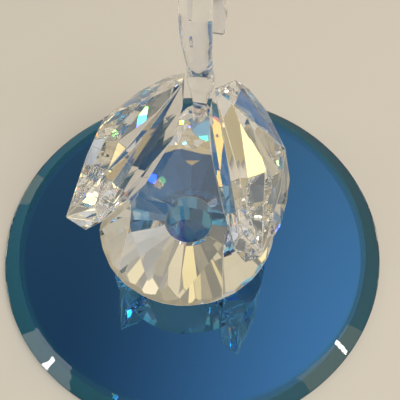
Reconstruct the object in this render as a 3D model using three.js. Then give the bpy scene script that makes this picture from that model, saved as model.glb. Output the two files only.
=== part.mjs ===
// Crystal swan with raised wings, standing on a round bevelled blue mirror.
// Millimetres, +Z up. The origin is the centre of the mirror's underside, and the swan faces -Y.
// The body is a cut crystal on a small flat base. Two cut wings lie on its sloping flanks, and a
// smooth neck with its head stands on the chest between them.

import * as THREE from 'three';
import { ConvexGeometry } from 'three/addons/geometries/ConvexGeometry.js';
import { mergeVertices } from 'three/addons/utils/BufferGeometryUtils.js';

// Mirror
const MIRROR_RADIUS = 40;
const MIRROR_THICKNESS = 3.1;
const MIRROR_BEVEL_WIDTH = 3.2;
const MIRROR_EDGE_HEIGHT = 1.8;
const MIRROR_ARRIS = 0.25;
const MIRROR_SEGMENTS = 120;

// Body, whose round girdle lies behind the mirror's centre and its base ahead of it
const GIRDLE_RADIUS = 17.2;
const GIRDLE_Y = 3.7;
const GIRDLE_BOTTOM = 9.4;
const GIRDLE_TOP = 10.0;
const GIRDLE_SIDES = 64;
const BASE_RADIUS = 4.7;
const BASE_Y = -1.5;
const PAVILION_FACETS = 24;
const PAVILION_BREAK_ANGLE = 7;
const PAVILION_BREAK_INSET = 0.4;
const BACK_SLOPE = 28.7;
const CREASE_Y = 7;
const CREASE_HEIGHT = 21;
const NECK_SEAT_HEIGHT = 29.2;

// Crown facets of the body: azimuth from the tail, slope from level, and how far the facet's foot
// cuts in from the girdle. Each is repeated on the other side.
const FLANK = { azimuth: 85.5, slope: 52, inset: 0.1 };
const CROWN_FACETS = [
  { azimuth: 18, slope: 47.6, inset: 0.5 },
  { azimuth: 50, slope: 54.3, inset: 0.35 },
  FLANK,
  { azimuth: 118, slope: 74, inset: 0.4 },
  { azimuth: 150, slope: 85, inset: 0.4 },
];
const TAIL_INSET = 0.3;
const CHEST_SLOPE = 87.5;
const CHEST_INSET = 0.5;

// Upper facets of the chest, which end round the seat of the neck. Their reach is measured there.
const CHEST_FACETS = [
  { azimuth: 165, slope: 72, reach: 13.6 },
  { azimuth: 134, slope: 63, reach: 10.2 },
  { azimuth: 106, slope: 56, reach: 5.7 },
];

// Wings. The top edge runs level from the neck to the shoulder, and the girdle bulges below it.
const GLUE_GAP = 0.15;
const WING_CREST = [2.7, -7.2, 35.9];
const WING_TIP_TOP = [11.4, 14.9, 28.6];
const WING_EDGE_HEIGHT = 30;
const WING_GIRDLE_HEIGHT = 25.2;
const WING_KEEL_BULGE = 1.1;
const SAME_CORNER = 1e-4;

// Neck and head
const NECK_SIDES = 20;
const NECK_STEPS = 64;
const FOOT_GAP = 0.05;
const BEAK_TIP = 0.45;

const rad = THREE.MathUtils.degToRad;

// The level seat ends where the back slope begins, and the neck stands astride that edge.
const SEAT_BACK_Y = CREASE_Y - (NECK_SEAT_HEIGHT - CREASE_HEIGHT) / Math.tan(rad(BACK_SLOPE));

// A half-space that keeps the side away from its normal.
function facet(azimuth, slope, point) {
  const a = rad(azimuth);
  const s = rad(slope);
  const normal = new THREE.Vector3(Math.sin(s) * Math.sin(a), Math.sin(s) * Math.cos(a), Math.cos(s));
  return new THREE.Plane().setFromNormalAndCoplanarPoint(normal, point);
}

// The closed solid that a list of facet planes leaves. Corners are where three planes meet inside
// all the others, and each facet is a fan round its own corners.
function cutCrystal(planes) {
  const near = 1e-5;
  const corners = [];
  const count = planes.length;
  for (let i = 0; i < count; i += 1) {
    for (let j = i + 1; j < count; j += 1) {
      for (let k = j + 1; k < count; k += 1) {
        const corner = meetingPoint(planes[i], planes[j], planes[k]);
        if (!corner) continue;
        if (planes.some((plane) => plane.distanceToPoint(corner) > near)) continue;
        if (corners.some((other) => other.distanceTo(corner) < 10 * near)) continue;
        corners.push(corner);
      }
    }
  }
  const index = [];
  for (const plane of planes) {
    const ring = corners.map((corner, at) => ({ corner, at }))
      .filter(({ corner }) => Math.abs(plane.distanceToPoint(corner)) < 10 * near);
    if (ring.length < 3) continue;
    const middle = ring.reduce((sum, { corner }) => sum.add(corner), new THREE.Vector3());
    middle.divideScalar(ring.length);
    const along = ring[0].corner.clone().sub(middle).normalize();
    const across = new THREE.Vector3().crossVectors(plane.normal, along);
    const turn = ({ corner }) => {
      const arm = corner.clone().sub(middle);
      return Math.atan2(arm.dot(across), arm.dot(along));
    };
    ring.sort((one, two) => turn(one) - turn(two));
    for (let n = 1; n + 1 < ring.length; n += 1) {
      index.push(ring[0].at, ring[n].at, ring[n + 1].at);
    }
  }
  const geometry = new THREE.BufferGeometry();
  geometry.setAttribute('position', new THREE.Float32BufferAttribute(
    corners.flatMap((corner) => corner.toArray()), 3));
  geometry.setIndex(index);
  return geometry;
}

function meetingPoint(p, q, r) {
  const qr = new THREE.Vector3().crossVectors(q.normal, r.normal);
  const volume = p.normal.dot(qr);
  if (Math.abs(volume) < 1e-7) return null;
  const rp = new THREE.Vector3().crossVectors(r.normal, p.normal);
  const pq = new THREE.Vector3().crossVectors(p.normal, q.normal);
  return qr.multiplyScalar(-p.constant)
    .addScaledVector(rp, -q.constant)
    .addScaledVector(pq, -r.constant)
    .divideScalar(volume);
}

// Crown

// A facet square to its azimuth, through the point at that reach and height from the girdle's centre.
function bodyFacet(azimuth, slope, reach, height) {
  const a = rad(azimuth);
  const point = new THREE.Vector3(reach * Math.sin(a), GIRDLE_Y + reach * Math.cos(a), height);
  return facet(azimuth, slope, point);
}

function crownFacet({ azimuth, slope, inset }) {
  return bodyFacet(azimuth, slope, GIRDLE_RADIUS - inset, GIRDLE_TOP);
}

function crownPlanes() {
  const crease = new THREE.Vector3(0, CREASE_Y, CREASE_HEIGHT);
  const tailRun = GIRDLE_Y + GIRDLE_RADIUS - TAIL_INSET - CREASE_Y;
  const tailSlope = THREE.MathUtils.radToDeg(Math.atan2(CREASE_HEIGHT - GIRDLE_TOP, tailRun));
  const planes = [
    facet(0, tailSlope, crease),
    facet(0, BACK_SLOPE, crease),
    facet(0, 0, new THREE.Vector3(0, 0, NECK_SEAT_HEIGHT)),
    crownFacet({ azimuth: 180, slope: CHEST_SLOPE, inset: CHEST_INSET }),
  ];
  for (const side of [1, -1]) {
    for (const { azimuth, slope, inset } of CROWN_FACETS) {
      planes.push(crownFacet({ azimuth: side * azimuth, slope, inset }));
    }
    for (const { azimuth, slope, reach } of CHEST_FACETS) {
      planes.push(bodyFacet(side * azimuth, slope, reach, NECK_SEAT_HEIGHT));
    }
  }
  return planes;
}

// Pavilion

// Each pavilion facet leans from the girdle's lower edge in to the base, which lies further forward.
function pavilionPlanes() {
  const planes = [];
  const fall = GIRDLE_BOTTOM - MIRROR_THICKNESS;
  for (let n = 0; n < PAVILION_FACETS; n += 1) {
    const azimuth = (n * 360) / PAVILION_FACETS;
    const outer = GIRDLE_Y * Math.cos(rad(azimuth)) + GIRDLE_RADIUS;
    const inner = BASE_Y * Math.cos(rad(azimuth)) + BASE_RADIUS;
    const lean = THREE.MathUtils.radToDeg(Math.atan2(fall, outer - inner));
    planes.push(pavilionFacet(azimuth, lean, 0));
    const between = azimuth + 180 / PAVILION_FACETS;
    planes.push(pavilionFacet(between, lean + PAVILION_BREAK_ANGLE, PAVILION_BREAK_INSET));
  }
  return planes;
}

function pavilionFacet(azimuth, lean, inset) {
  return bodyFacet(azimuth, 180 - lean, GIRDLE_RADIUS - inset, GIRDLE_BOTTOM);
}

function body() {
  const planes = [
    facet(0, 180, new THREE.Vector3(0, 0, MIRROR_THICKNESS)),
    ...crownPlanes(),
    ...pavilionPlanes(),
  ];
  for (let n = 0; n < GIRDLE_SIDES; n += 1) {
    planes.push(bodyFacet((n * 360) / GIRDLE_SIDES, 90, GIRDLE_RADIUS, GIRDLE_TOP));
  }
  return cutCrystal(planes);
}

// Wings

// A point of the wing's underside, just clear of the body's flank.
function onFlank(x, y) {
  const flank = crownFacet(FLANK);
  const level = -flank.distanceToPoint(new THREE.Vector3(x, y, 0)) + GLUE_GAP;
  return [x, y, level / flank.normal.z];
}

// The corners of the wing on the +X side; the other wing is its mirror image.
function wingCorners() {
  const between = (from, to, t) => from.map((start, axis) => start + t * (to[axis] - start));
  const lift = ([x, y, z], up) => [x, y, z + up];
  const ridge = [WING_CREST, lift(between(WING_CREST, WING_TIP_TOP, 0.5), 0.25), WING_TIP_TOP];
  const frontEdge = [
    [4.7, -16.5, WING_EDGE_HEIGHT],
    [7.6, -14.8, WING_EDGE_HEIGHT],
    [11.6, -10.0, WING_EDGE_HEIGHT],
    [15.8, -2.2, WING_EDGE_HEIGHT],
  ];
  const topFacets = [
    [9.1, -3.8, 33.6],
    [13.2, 3.6, 31.3],
    [16.2, 5.6, 28.9],
  ];
  const girdle = [
    [17.6, 0.2, WING_GIRDLE_HEIGHT],
    [17.7, 4.6, WING_GIRDLE_HEIGHT - 0.4],
    [17.2, 10.0, WING_GIRDLE_HEIGHT + 0.2],
  ];
  const tip = [
    [15.0, 17.7, 28.8],
    [12.9, 17.2, 24.9],
    [10.7, 15.9, 26.0],
  ];
  const innerEdge = [
    [2.3, -5.2, 32.6],
    onFlank(3.2, -1.2),
    onFlank(6.6, 5.6),
  ];
  const keel = [onFlank(8.6, -9.4), onFlank(12.2, -3.2), onFlank(12.4, 2.8), onFlank(10.6, 7.6)];
  // Facets between the outer edge and the keel meet in corners pushed out from the straight line.
  const under = [frontEdge[2], girdle[0], girdle[1], girdle[2]].map((corner, n) => {
    const [x, y, z] = between(corner, keel[n], 0.5);
    return [x + WING_KEEL_BULGE, y, z - WING_KEEL_BULGE];
  });
  return [
    ...ridge, ...frontEdge, ...topFacets, ...girdle, ...tip, ...innerEdge, ...keel, ...under,
    onFlank(5.0, -13.6),
  ];
}

function wing(side) {
  const points = wingCorners().map(([x, y, z]) => new THREE.Vector3(side * x, y, z));
  const hull = new ConvexGeometry(points);
  hull.deleteAttribute('normal');
  return mergeVertices(hull, SAME_CORNER);
}

// Neck, head and beak, one smooth piece. Each station has a place in the swan's middle plane, a
// half width across and a half depth along the bend.
const NECK_STATIONS = [
  { y: SEAT_BACK_Y, z: NECK_SEAT_HEIGHT + FOOT_GAP, wide: 1.4, deep: 1.85 },
  { y: -8.2, z: 31.2, wide: 1.25, deep: 1.5 },
  { y: -8.8, z: 33.4, wide: 1.85, deep: 1.85 },
  { y: -9.0, z: 35.6, wide: 2.4, deep: 2.25 },
  { y: -8.0, z: 39.6, wide: 2.15, deep: 1.9 },
  { y: -6.6, z: 44.5, wide: 2.35, deep: 2.1 },
  { y: -5.9, z: 49.6, wide: 2.4, deep: 2.25 },
  { y: -7.3, z: 54.0, wide: 2.3, deep: 2.2 },
  { y: -11.0, z: 56.4, wide: 2.3, deep: 2.25 },
  { y: -15.0, z: 54.6, wide: 2.7, deep: 2.7 },
  { y: -17.6, z: 50.8, wide: 3.0, deep: 3.2 },
  { y: -19.4, z: 46.6, wide: 2.5, deep: 2.6 },
  { y: -20.6, z: 43.0, wide: 1.8, deep: 1.6 },
  { y: -21.7, z: 39.2, wide: 1.8, deep: 1.05 },
  { y: -22.6, z: 35.5, wide: 1.4, deep: 0.65 },
];

// Height of the neck's foot above a point of the seat or of the back slope behind it.
function footHeight(y) {
  const fall = Math.max(0, y - SEAT_BACK_Y) * Math.tan(rad(BACK_SLOPE));
  return NECK_SEAT_HEIGHT - fall + FOOT_GAP;
}

function neck() {
  const path = new THREE.CatmullRomCurve3(
    NECK_STATIONS.map(({ y, z }) => new THREE.Vector3(0, y, z)), false, 'centripetal');
  const widths = new THREE.SplineCurve(
    NECK_STATIONS.map(({ wide, deep }) => new THREE.Vector2(wide, deep)));
  const positions = [];
  const index = [];
  const ringStart = (step) => 1 + step * NECK_SIDES;
  positions.push(...path.getPoint(0).toArray());
  for (let step = 0; step <= NECK_STEPS; step += 1) {
    const t = step / NECK_STEPS;
    const centre = path.getPoint(t);
    const tangent = path.getTangent(t);
    const back = new THREE.Vector3().crossVectors(new THREE.Vector3(1, 0, 0), tangent).normalize();
    const half = widths.getPoint(t);
    for (let side = 0; side < NECK_SIDES; side += 1) {
      const a = (side * 2 * Math.PI) / NECK_SIDES;
      const point = centre.clone();
      point.x += half.x * Math.cos(a);
      point.addScaledVector(back, half.y * Math.sin(a));
      if (step === 0) point.z = footHeight(point.y);
      positions.push(...point.toArray());
    }
  }
  const tip = positions.length / 3;
  positions.push(...path.getPoint(1).addScaledVector(path.getTangent(1), BEAK_TIP).toArray());
  for (let side = 0; side < NECK_SIDES; side += 1) {
    const next = (side + 1) % NECK_SIDES;
    index.push(0, ringStart(0) + side, ringStart(0) + next);
    index.push(tip, ringStart(NECK_STEPS) + next, ringStart(NECK_STEPS) + side);
    for (let step = 0; step < NECK_STEPS; step += 1) {
      const low = ringStart(step);
      const high = ringStart(step + 1);
      index.push(low + side, high + next, low + next);
      index.push(low + side, high + side, high + next);
    }
  }
  const geometry = new THREE.BufferGeometry();
  geometry.setAttribute('position', new THREE.Float32BufferAttribute(positions, 3));
  geometry.setIndex(index);
  return geometry;
}

// Mirror, a round plate with a small arris below and a wide bevel above
function mirror() {
  const profile = [
    [0, 0],
    [MIRROR_RADIUS - MIRROR_ARRIS, 0],
    [MIRROR_RADIUS, MIRROR_ARRIS],
    [MIRROR_RADIUS, MIRROR_EDGE_HEIGHT],
    [MIRROR_RADIUS - MIRROR_BEVEL_WIDTH, MIRROR_THICKNESS],
    [0, MIRROR_THICKNESS],
  ].map(([r, z]) => new THREE.Vector2(r, z));
  const plate = new THREE.LatheGeometry(profile, MIRROR_SEGMENTS);
  plate.rotateX(Math.PI / 2);
  return plate;
}

function clearCrystal() {
  return new THREE.MeshStandardMaterial({
    color: 0xf3f6fa,
    roughness: 0.02,
    metalness: 0,
    transparent: true,
    opacity: 0.45,
  });
}

function blueMirror() {
  return new THREE.MeshStandardMaterial({ color: 0x2c5c96, roughness: 0.05, metalness: 0.9 });
}

function piece(name, geometry, material) {
  const mesh = new THREE.Mesh(geometry, material);
  mesh.name = name;
  return mesh;
}

const swan = new THREE.Group();
swan.add(
  piece('mirror_base', mirror(), blueMirror()),
  piece('body', body(), clearCrystal()),
  piece('wing_right', wing(-1), clearCrystal()),
  piece('wing_left', wing(1), clearCrystal()),
  piece('neck_head', neck(), clearCrystal()),
);

export default swan;
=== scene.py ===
"""Crystal swan on a round blue mirror: its finish, the studio light and the camera.

Metres, in the part's own frame: +Z up, the swan faces -Y, the origin is under the mirror's centre.
"""
import math

import bpy
from mathutils import Matrix, Vector


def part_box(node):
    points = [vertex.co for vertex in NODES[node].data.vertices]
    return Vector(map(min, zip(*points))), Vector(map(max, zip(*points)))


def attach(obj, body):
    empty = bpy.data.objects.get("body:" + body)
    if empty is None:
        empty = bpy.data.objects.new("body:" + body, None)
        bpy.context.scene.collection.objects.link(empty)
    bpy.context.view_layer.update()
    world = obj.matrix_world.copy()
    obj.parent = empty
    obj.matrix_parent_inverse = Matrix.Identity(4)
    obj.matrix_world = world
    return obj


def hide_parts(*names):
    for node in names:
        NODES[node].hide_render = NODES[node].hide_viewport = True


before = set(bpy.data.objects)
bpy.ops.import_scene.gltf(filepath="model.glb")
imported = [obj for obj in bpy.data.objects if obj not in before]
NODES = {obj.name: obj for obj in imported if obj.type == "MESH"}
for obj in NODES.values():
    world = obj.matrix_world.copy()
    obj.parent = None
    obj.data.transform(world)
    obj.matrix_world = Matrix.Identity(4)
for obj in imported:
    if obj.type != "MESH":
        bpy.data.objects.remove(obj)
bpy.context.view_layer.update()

MM = 0.001

# Mirror plate
MIRROR_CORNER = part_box("mirror_base")[1]
MIRROR_RADIUS = MIRROR_CORNER.x
SEAT_GAP = 0.04 * MM
PLATE_TOP = MIRROR_CORNER.z - SEAT_GAP
BEVEL_WIDTH = 3.2 * MM
EDGE_HEIGHT = 1.8 * MM
ARRIS = 0.2 * MM
BACKING = 0.3 * MM
BACKING_SUNK = 0.02 * MM
PLATE_SEGMENTS = 256

# Glass: how strongly it bends light, its tint, and its polishing ripple's size across and height
CRYSTAL_IOR = 1.56
CRYSTAL_TINT = (0.99, 0.993, 0.998, 1)
BODY_RIPPLE = (9 * MM, 0.0006 * MM)
WING_RIPPLE = (8 * MM, 0.0006 * MM)
NECK_RIPPLE = (5 * MM, 0.003 * MM)
PLATE_IOR = 1.52
PLATE_TINT = (0.93, 0.985, 0.98, 1)
PLATE_RIPPLE = (12 * MM, 0.0004 * MM)

# Silvering: its colour under the flat face and under the bevel, and the shares of the plate's radius
# between which the one turns into the other
SILVER_INNER = (0.06, 0.29, 0.66, 1)
SILVER_OUTER = (0.035, 0.3, 0.46, 1)
SILVER_TURNS = (0.895, 0.935)
SILVER_OUTER_MIRRORED = 0.6

# Arris between two facets, and the least angle in degrees at which two facets have one
FACET_EDGE = 0.09 * MM
FACET_EDGE_STEPS = 2
BODY_ARRIS_FROM = 21
WING_ARRIS_FROM = 15
ARRIS_TINT = (0.98, 0.95, 0.88, 1)
ARRIS_CLEAR = 0.75
ARRIS_FROST = 0.2
ARRIS_RIPPLE = (0.4 * MM, 0.01 * MM)
SAME_CORNER = 0.001 * MM
SAME_FACET = math.radians(0.3)

# The neck's seat on the body: a level facet, and the back slope that falls from it to the tail's crease
BACK_SLOPE = math.radians(28.7)
SEAT_HEIGHT = 29.2
CREASE_Y = 7
CREASE_HEIGHT = 21
SEAT_BACK = CREASE_Y - (SEAT_HEIGHT - CREASE_HEIGHT) / math.tan(BACK_SLOPE)
FOOT_GAP = 0.05

# Neck and head, in millimetres: middle line, half width, half depth along the bend, and squareness
NECK_SIDES = 72
NECK_STEPS = 300
NECK_NUDGE = 1e-3
BEAK_TIP = 0.45 * MM
BEAK_STEPS = 8
NECK_STATIONS = [
    # y, z, wide, deep, square
    (SEAT_BACK, SEAT_HEIGHT + FOOT_GAP, 1.4, 1.85, 0),
    (-8.2, 31.2, 1.25, 1.5, 0),
    (-8.8, 33.4, 1.85, 1.85, 0),
    (-9.0, 35.6, 2.4, 2.25, 0),
    (-8.0, 39.6, 2.15, 1.9, 0),
    (-6.6, 44.5, 2.35, 2.1, 0),
    (-5.9, 49.6, 2.4, 2.25, 0),
    (-7.3, 54.0, 2.3, 2.2, 0),
    (-11.0, 56.4, 2.3, 2.25, 0),
    (-15.0, 54.6, 2.7, 2.7, 0),
    (-17.6, 50.8, 3.0, 3.2, 0),
    (-19.4, 46.6, 2.5, 2.6, 0.1),
    (-20.6, 43.0, 1.8, 1.6, 0.4),
    (-21.7, 39.2, 1.8, 1.05, 0.8),
    (-22.6, 35.5, 1.4, 0.65, 0.7),
]

# Floor, and the backdrop that curves up from it
FLOOR_SIZE = 6.0
FLOOR_COLOUR = (0.65, 0.63, 0.585, 1)
FLOOR_ROUGHNESS = 0.7
SWEEP_FLAT = 0.8
SWEEP_BEND = 0.7
SWEEP_HEIGHT = 2.2
SWEEP_LIFT = 0.0002
SWEEP_STEPS = 16
SWEEP_SIDES = 96

# Camera, at the photograph's angle
CAMERA_PLACE = Vector((-13.2, 47.7, 87.2)) * MM
CAMERA_AIM = Vector((-1.61, -0.72, 12.0)) * MM
CAMERA_ROLL = math.radians(-0.6)
CAMERA_LENS = 40.5
CAMERA_FILM = 36
CAMERA_NEAR = 1 * MM

# Light. Each axis of the room: the direction's part that its colours follow, the stretch that they
# change over, and its two colours. The last row is the ceiling.
ROOM = {
    "X": ("X", -0.5, 0.5, (0.5, 0.41, 0.23), (0.22, 0.22, 0.19)),
    "Y": ("Y", -0.5, 0.5, (0.36, 0.31, 0.21), (0.52, 0.42, 0.25)),
    "Z": ("X", -0.5, 0.4, (0.72, 0.76, 0.8), (0.09, 0.11, 0.13)),
}
LIGHT_REACH = 1.5
LIGHT_AIM = Vector((0, 0, 20)) * MM
AMBER = (1, 0.19, 0)
GOLD = (1, 0.8, 0.33)
WARM = (1, 0.84, 0.52)
WHITE = (1, 0.96, 0.9)
PANELS = [
    # name, azimuth, rise, width and height in degrees, glow, colour
    ("gold_panel", 183, 15, 14, 17, 1.2, GOLD),
    ("gold_window", 174, 45, 22, 18, 1.2, GOLD),
    ("gold_lamp", 179, 40, 2, 1.6, 24, WHITE),
    ("window", 31, 38, 20, 12, 2.2, WHITE),
    ("window_lamp", 32, 39, 2, 2.6, 24, WHITE),
    ("ceiling_panel", 78, 62, 24, 18, 1.2, WARM),
    ("side_panel", 316, 20, 15, 9, 0.4, WARM),
    ("low_panel", 333, 12, 9, 7, 0.9, GOLD),
    ("amber_panel", 242, 48, 5, 4.5, 12, AMBER),
    ("ridge_panel", 276, 45, 7, 5, 3.9, AMBER),
    ("high_ridge_panel", 285, 64, 6, 5, 3.6, AMBER),
]
# A row of warm window panes beyond the swan's breast, no two neighbours alike
PANE_FIRST = 236
PANE_LAST = 304
PANE_STEP = 5
PANE_RISE = 29
PANE_WIDE = 2.6
PANE_HIGH = 15
PANE_GLOWS = (0.45, 0.1, 0.65)
PANE_COLOURS = (GOLD, WARM, WARM, GOLD)
FLOOR_SOFTBOX = (150, 55, 30, 30, 6.5, WHITE)
# Small lights in rainbow colours, for the sparks of colour that cut crystal shows
FIRE_SIZE = 1.2
FIRE_STEP = 1.3
FIRE_GLOW = 7
RAINBOW = [(1, 0.12, 0.03), (1, 0.55, 0.02), (0.25, 1, 0.15), (0.03, 0.65, 1), (0.08, 0.1, 1)]
FIRE = [
    # azimuth, rise, first and last colour of the rainbow
    (356, 4, 2, 4),
    (102, 45, 2, 3),
    (112, 23, 0, 1),
    (121, 20, 3, 4),
    (84, 30, 1, 2),
    (250, 42, 0, 4),
    (327, 30, 0, 4),
    (58, 50, 0, 4),
    (150, 40, 0, 4),
    (205, 36, 0, 4),
    (270, 54, 4, 4),
    (72, 62, 2, 2),
    (306, 6, 3, 4),
    (294, 6, 3, 4),
]


def mesh_object(name, vertices, faces, smooth=True):
    mesh = bpy.data.meshes.new(name)
    mesh.from_pydata(vertices, [], faces)
    mesh.validate()
    mesh.polygons.foreach_set("use_smooth", [smooth] * len(mesh.polygons))
    piece = bpy.data.objects.new(name, mesh)
    bpy.context.scene.collection.objects.link(piece)
    return piece


def circle(radius, height, sides):
    """Points of a level circle about Z, anticlockwise seen from above."""
    angles = [2 * math.pi * n / sides for n in range(sides)]
    return [(radius * math.cos(a), radius * math.sin(a), height) for a in angles]


def bands(first, rings, sides, clockwise=False):
    """Faces between stacked rings of points, the first ring's points starting at the index first.

    They face outwards if clockwise says which way the rings run, seen from the last one.
    """
    faces = []
    for ring in range(rings - 1):
        low = first + ring * sides
        high = low + sides
        for n in range(sides):
            m = (n + 1) % sides
            if clockwise:
                faces.append((low + n, high + n, high + m, low + m))
            else:
                faces.append((low + n, low + m, high + m, high + n))
    return faces


def turned(name, profile, segments):
    """A solid turned about Z from a profile of (radius, height) that starts and ends on the axis."""
    rings = profile[1:-1]
    vertices = [(0, 0, profile[0][1])]
    for radius, height in rings:
        vertices.extend(circle(radius, height, segments))
    vertices.append((0, 0, profile[-1][1]))
    last = len(vertices) - 1
    top = last - segments
    faces = bands(1, len(rings), segments)
    for n in range(segments):
        m = (n + 1) % segments
        faces.append((0, 1 + m, 1 + n))
        faces.append((top + n, top + m, last))
    return mesh_object(name, vertices, faces, smooth=False)


def node_material(name):
    material = bpy.data.materials.new(name)
    material.use_nodes = True
    tree = material.node_tree
    return material, tree.nodes, tree.links, tree.nodes["Principled BSDF"]


def add_ripple(nodes, links, shader, size, height):
    """The faint unevenness that polishing leaves, as a bump in the surface."""
    place = nodes.new("ShaderNodeTexCoord")
    noise = nodes.new("ShaderNodeTexNoise")
    noise.inputs["Scale"].default_value = 1 / size
    noise.inputs["Detail"].default_value = 2
    bump = nodes.new("ShaderNodeBump")
    bump.inputs["Strength"].default_value = 1
    bump.inputs["Distance"].default_value = height
    links.new(place.outputs["Object"], noise.inputs["Vector"])
    links.new(noise.outputs["Fac"], bump.inputs["Height"])
    links.new(bump.outputs["Normal"], shader.inputs["Normal"])


def glass(name, tint, ior, ripple, clear=1, frost=0):
    """Glass that light passes through, by the share clear, and frosted by the roughness frost."""
    material, nodes, links, shader = node_material(name)
    shader.inputs["Base Color"].default_value = tint
    shader.inputs["Transmission Weight"].default_value = clear
    shader.inputs["IOR"].default_value = ior
    shader.inputs["Roughness"].default_value = frost
    add_ripple(nodes, links, shader, *ripple)
    return material


def crystal(name, ripple):
    return glass(name, CRYSTAL_TINT, CRYSTAL_IOR, ripple)


def blue_silvering():
    """The mirrored backing, which changes with the distance from the plate's middle."""
    material, nodes, links, shader = node_material("blue_silvering")
    shader.inputs["Roughness"].default_value = 0
    place = nodes.new("ShaderNodeTexCoord")
    length = nodes.new("ShaderNodeVectorMath")
    length.operation = "LENGTH"
    share = nodes.new("ShaderNodeMath")
    share.operation = "DIVIDE"
    share.inputs[1].default_value = MIRROR_RADIUS
    links.new(place.outputs["Object"], length.inputs[0])
    links.new(length.outputs["Value"], share.inputs[0])
    ramp = nodes.new("ShaderNodeValToRGB")
    for stop, at, colour in zip(ramp.color_ramp.elements, SILVER_TURNS, (SILVER_INNER, SILVER_OUTER)):
        stop.position = at
        stop.color = colour
    links.new(share.outputs["Value"], ramp.inputs["Fac"])
    links.new(ramp.outputs["Color"], shader.inputs["Base Color"])
    # Under the bevel the backing also scatters some light, so the rim keeps its colour from any side.
    mirrored = nodes.new("ShaderNodeMapRange")
    mirrored.inputs["From Min"].default_value = SILVER_TURNS[0]
    mirrored.inputs["From Max"].default_value = SILVER_TURNS[1]
    mirrored.inputs["To Min"].default_value = 1
    mirrored.inputs["To Max"].default_value = SILVER_OUTER_MIRRORED
    links.new(share.outputs["Value"], mirrored.inputs["Value"])
    links.new(mirrored.outputs["Result"], shader.inputs["Metallic"])
    return material


def mirror():
    rim = MIRROR_RADIUS
    plate = turned("mirror_plate", [
        (0, BACKING),
        (rim - ARRIS, BACKING),
        (rim, BACKING + ARRIS),
        (rim, EDGE_HEIGHT - ARRIS / 2),
        (rim - ARRIS / 2, EDGE_HEIGHT),
        (rim - BEVEL_WIDTH, PLATE_TOP - ARRIS / 4),
        (rim - BEVEL_WIDTH - ARRIS / 2, PLATE_TOP),
        (0, PLATE_TOP),
    ], PLATE_SEGMENTS)
    plate.data.materials.append(glass("mirror_plate_glass", PLATE_TINT, PLATE_IOR, PLATE_RIPPLE))
    backing = turned("mirror_backing", [
        (0, 0),
        (rim - ARRIS, 0),
        (rim - ARRIS / 2, ARRIS / 2),
        (rim - ARRIS / 2, BACKING + BACKING_SUNK / 2),
        (rim - ARRIS, BACKING + BACKING_SUNK),
        (0, BACKING + BACKING_SUNK),
    ], PLATE_SEGMENTS)
    backing.data.materials.append(blue_silvering())
    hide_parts("mirror_base")
    for piece in (plate, backing):
        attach(piece, "root")


def facet_crystal(name, material, arris, arris_from):
    """A cut crystal keeps its solid, with a fine frosted arris along each edge that is sharp enough."""
    node = NODES[name]
    weld = node.modifiers.new("weld", "WELD")
    weld.merge_threshold = SAME_CORNER
    flat = node.modifiers.new("flat_facets", "DECIMATE")
    flat.decimate_type = "DISSOLVE"
    flat.angle_limit = SAME_FACET
    edge = node.modifiers.new("polished_edges", "BEVEL")
    edge.width = FACET_EDGE
    edge.segments = FACET_EDGE_STEPS
    edge.limit_method = "ANGLE"
    edge.angle_limit = math.radians(arris_from)
    edge.use_clamp_overlap = False
    edge.material = 1
    node.data.materials.clear()
    node.data.materials.append(material)
    node.data.materials.append(arris)


def cut_crystals():
    """The body and both wings. Polishing leaves their arrises faintly frosted, so they show as lines."""
    arris = glass("ground_arris", ARRIS_TINT, CRYSTAL_IOR, ARRIS_RIPPLE, ARRIS_CLEAR, ARRIS_FROST)
    facet_crystal("body", crystal("body_crystal", BODY_RIPPLE), arris, BODY_ARRIS_FROM)
    for side in ("left", "right"):
        wing = crystal(f"{side}_wing_crystal", WING_RIPPLE)
        facet_crystal(f"wing_{side}", wing, arris, WING_ARRIS_FROM)


def catmull(points, t):
    """A smooth curve through the points, at t from 0 to 1, each point an equal share of t."""
    last = len(points) - 1
    at = t * last
    k = min(int(at), last - 1)
    u = at - k
    p1, p2 = points[k], points[k + 1]
    p0 = points[k - 1] if k > 0 else 2 * p1 - p2
    p3 = points[k + 2] if k + 2 <= last else 2 * p2 - p1
    return 0.5 * (2 * p1 + (p2 - p0) * u + (2 * p0 - 5 * p1 + 4 * p2 - p3) * u ** 2
                  + (3 * p1 - p0 - 3 * p2 + p3) * u ** 3)


def foot_height(y):
    """Height of the neck's foot over the level seat, or over the back slope behind it."""
    fall = max(0, y - SEAT_BACK * MM) * math.tan(BACK_SLOPE)
    return (SEAT_HEIGHT + FOOT_GAP) * MM - fall


def rounded(value, power):
    """A cosine or sine raised to a power that keeps its sign, which squares up a round section."""
    return math.copysign(abs(value) ** power, value)


def neck_ring(line, shape, t):
    """The neck's section at t along its middle line."""
    centre = catmull(line, t)
    ahead = catmull(line, min(t + NECK_NUDGE, 1))
    behind = catmull(line, max(t - NECK_NUDGE, 0))
    along = (ahead - behind).normalized()
    back = Vector((1, 0, 0)).cross(along).normalized()
    wide, deep, square = catmull(shape, t)
    power = 1 / (1 + max(0, square))
    ring = []
    for side in range(NECK_SIDES):
        a = 2 * math.pi * side / NECK_SIDES
        across = rounded(math.cos(a), power) * wide
        depth = rounded(math.sin(a), power) * deep
        ring.append(centre + Vector((across, 0, 0)) + back * depth)
    return ring


def beak_rings(last, middle, end):
    """Rings that round off the beak, each one further out and drawn in towards the middle."""
    rings = []
    for step in range(1, BEAK_STEPS):
        a = math.pi / 2 * step / BEAK_STEPS
        forward = end * BEAK_TIP * math.sin(a)
        inset = BEAK_TIP * (1 - math.cos(a))
        rings.append([point + forward - (point - middle).normalized() * inset for point in last])
    return rings


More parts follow.
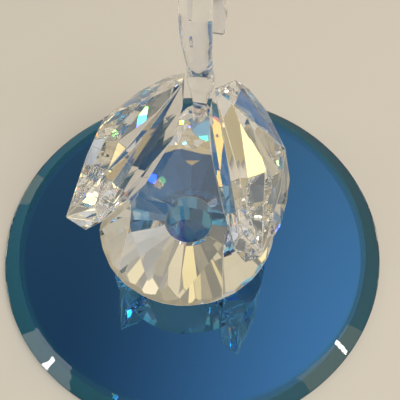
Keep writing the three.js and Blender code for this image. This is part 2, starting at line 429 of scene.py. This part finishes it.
def neck_and_head():
    line = [Vector((0, y, z)) * MM for y, z, _, _, _ in NECK_STATIONS]
    shape = [Vector((wide * MM, deep * MM, square)) for _, _, wide, deep, square in NECK_STATIONS]
    rings = [neck_ring(line, shape, step / NECK_STEPS) for step in range(NECK_STEPS + 1)]
    for point in rings[0]:
        point.z = foot_height(point.y)
    end = (line[-1] - line[-2]).normalized()
    rings += beak_rings(rings[-1], line[-1], end)
    vertices = [point for ring in rings for point in ring]
    foot = len(vertices)
    tip = foot + 1
    top = foot - NECK_SIDES
    vertices.append(line[0])
    vertices.append(line[-1] + end * BEAK_TIP)
    faces = bands(0, len(rings), NECK_SIDES, clockwise=True)
    for side in range(NECK_SIDES):
        after = (side + 1) % NECK_SIDES
        faces.append((foot, side, after))
        faces.append((tip, top + after, top + side))
    piece = mesh_object("neck_and_head", vertices, faces)
    piece.data.materials.append(crystal("neck_crystal", NECK_RIPPLE))
    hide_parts("neck_head")
    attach(piece, "root")


def light_panel(name, azimuth, rise, wide, high, glow, colour):
    """A flat soft light, placed and sized by the angles that the swan sees it at."""
    a = math.radians(azimuth)
    e = math.radians(rise)
    away = Vector((math.cos(a) * math.cos(e), math.sin(a) * math.cos(e), math.sin(e)))
    light = bpy.data.lights.new(name, "AREA")
    light.shape = "RECTANGLE"
    light.size = 2 * LIGHT_REACH * math.tan(math.radians(wide / 2))
    light.size_y = 2 * LIGHT_REACH * math.tan(math.radians(high / 2))
    light.energy = glow * math.pi * light.size * light.size_y
    light.color = colour
    lamp = bpy.data.objects.new(name, light)
    bpy.context.scene.collection.objects.link(lamp)
    lamp.location = LIGHT_AIM + away * LIGHT_REACH
    lamp.rotation_euler = (-away).to_track_quat("-Z", "Y").to_euler()
    lamp.visible_camera = False
    return lamp


def colour_by(nodes, links, value, low, high, low_colour, high_colour):
    """A colour that goes smoothly from one to the other as the value rises from low to high."""
    share = nodes.new("ShaderNodeMapRange")
    share.interpolation_type = "SMOOTHSTEP"
    share.inputs["From Min"].default_value = low
    share.inputs["From Max"].default_value = high
    links.new(value, share.inputs["Value"])
    mix = nodes.new("ShaderNodeMix")
    mix.data_type = "RGBA"
    links.new(share.outputs["Result"], mix.inputs["Factor"])
    for socket, colour in (("A_Color", low_colour), ("B_Color", high_colour)):
        target = next(entry for entry in mix.inputs if entry.identifier == socket)
        target.default_value = (*colour, 1)
    return next(entry for entry in mix.outputs if entry.identifier == "Result_Color")


def room():
    """The room's light: a colour for each side, blended by the square of the direction's parts."""
    world = bpy.data.worlds.new("studio")
    bpy.context.scene.world = world
    world.use_nodes = True
    nodes, links = world.node_tree.nodes, world.node_tree.links
    place = nodes.new("ShaderNodeTexCoord")
    parts = nodes.new("ShaderNodeSeparateXYZ")
    links.new(place.outputs["Generated"], parts.inputs[0])
    total = None
    for axis, (follows, *stretch) in ROOM.items():
        colour = colour_by(nodes, links, parts.outputs[follows], *stretch)
        square = nodes.new("ShaderNodeMath")
        square.operation = "MULTIPLY"
        links.new(parts.outputs[axis], square.inputs[0])
        links.new(parts.outputs[axis], square.inputs[1])
        weigh = nodes.new("ShaderNodeVectorMath")
        weigh.operation = "SCALE"
        links.new(colour, weigh.inputs[0])
        links.new(square.outputs["Value"], weigh.inputs["Scale"])
        if total is None:
            total = weigh.outputs["Vector"]
            continue
        add = nodes.new("ShaderNodeVectorMath")
        links.new(total, add.inputs[0])
        links.new(weigh.outputs["Vector"], add.inputs[1])
        total = add.outputs["Vector"]
    links.new(total, nodes["Background"].inputs["Color"])


def window_panes():
    for n, azimuth in enumerate(range(PANE_FIRST, PANE_LAST + 1, PANE_STEP)):
        glow = PANE_GLOWS[n % len(PANE_GLOWS)]
        colour = PANE_COLOURS[n % len(PANE_COLOURS)]
        light_panel(f"pane_{azimuth}", azimuth, PANE_RISE, PANE_WIDE, PANE_HIGH, glow, colour)


def fire():
    for azimuth, rise, first, last in FIRE:
        for n in range(first, last + 1):
            name = f"fire_{azimuth}_{n}"
            at = azimuth + (n - first) * FIRE_STEP
            spark = light_panel(name, at, rise, FIRE_SIZE, FIRE_SIZE, FIRE_GLOW, RAINBOW[n])
            spark.visible_diffuse = False


def studio():
    room()
    for name, *panel in PANELS:
        light_panel(name, *panel)
    over = light_panel("floor_softbox", *FLOOR_SOFTBOX)
    over.visible_glossy = False
    over.visible_transmission = False
    window_panes()
    fire()


def backdrop():
    """A wall that curves up from the floor all round, for the camera alone, so it shades nothing."""
    profile = []
    for step in range(SWEEP_STEPS + 1):
        a = math.pi / 2 * step / SWEEP_STEPS
        radius = SWEEP_FLAT + SWEEP_BEND * math.sin(a)
        height = SWEEP_LIFT + SWEEP_BEND * (1 - math.cos(a))
        profile.append((radius, height))
    profile.append((SWEEP_FLAT + SWEEP_BEND, SWEEP_HEIGHT))
    vertices = []
    for radius, height in profile:
        vertices.extend(circle(radius, height, SWEEP_SIDES))
    wall = mesh_object("backdrop", vertices, bands(0, len(profile), SWEEP_SIDES))
    wall.visible_diffuse = False
    wall.visible_glossy = False
    wall.visible_transmission = False
    wall.visible_shadow = False
    return wall


def floor():
    size = FLOOR_SIZE / 2
    corners = [(-size, -size, 0), (size, -size, 0), (size, size, 0), (-size, size, 0)]
    ground = mesh_object("floor", corners, [(0, 1, 2, 3)])
    material, _, _, shader = node_material("floor_paper")
    shader.inputs["Base Color"].default_value = FLOOR_COLOUR
    shader.inputs["Roughness"].default_value = FLOOR_ROUGHNESS
    for stage in (ground, backdrop()):
        stage.data.materials.append(material)


def camera():
    data = bpy.data.cameras.new("camera")
    data.lens = CAMERA_LENS
    data.sensor_width = CAMERA_FILM
    data.clip_start = CAMERA_NEAR
    view = bpy.data.objects.new("camera", data)
    bpy.context.scene.collection.objects.link(view)
    view.location = CAMERA_PLACE
    turn = (CAMERA_AIM - CAMERA_PLACE).to_track_quat("-Z", "Y").to_matrix()
    turn = turn @ Matrix.Rotation(CAMERA_ROLL, 3, "Z")
    view.rotation_euler = turn.to_euler()
    bpy.context.scene.camera = view


def render_settings():
    scene = bpy.context.scene
    scene.cycles.use_denoising = True
    scene.cycles.max_bounces = 32
    scene.cycles.transmission_bounces = 32
    scene.cycles.glossy_bounces = 16
    scene.cycles.diffuse_bounces = 3
    scene.cycles.sample_clamp_indirect = 20
    scene.view_settings.view_transform = "Standard"


mirror()
cut_crystals()
neck_and_head()
floor()
studio()
camera()
render_settings()
